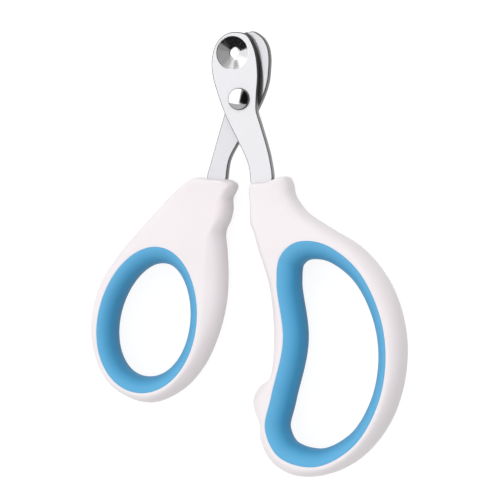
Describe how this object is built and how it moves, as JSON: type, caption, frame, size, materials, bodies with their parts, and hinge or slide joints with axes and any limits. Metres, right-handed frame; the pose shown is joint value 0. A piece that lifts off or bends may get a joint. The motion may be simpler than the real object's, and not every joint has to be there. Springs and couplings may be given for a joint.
{
  "type": "pet nail trimmer",
  "caption": "Scissor-type pet nail trimmer: a front blade with a funnel-shaped claw hole, a sweeping rear blade on a rivet, and looped handles with soft liners.",
  "frame": {"origin": "under the middle of the trimmer's box, on the surface that the backs of its handles rest on", "axes": "+X from the thumb loop to the finger loop, +Y from the handles to the blade tips, +Z along the rivet, out of the front blade's face"},
  "size_m": [0.0982, 0.1311, 0.0134],
  "materials": {
    "blade_steel": "polished",
    "rivet_steel": "polished",
    "handle_plastic": "satin",
    "liner_rubber": "soft matte"
  },
  "bodies": {
    "finger_side": {"front_blade": "blade_steel", "pivot_rivet": "rivet_steel", "tail_washer": "rivet_steel", "finger_handle": "handle_plastic", "finger_liner": "liner_rubber"},
    "thumb_side": {"rear_blade": "blade_steel", "thumb_handle": "handle_plastic", "thumb_liner": "liner_rubber"}
  },
  "joints": [
    {"name": "pivot", "type": "hinge", "parent": "finger_side", "child": "thumb_side", "pos_m": [-0.0021, 0.0455, 0.0067], "axis": [0, 0, 1], "range_deg": [-35, 12.8]}
  ]
}
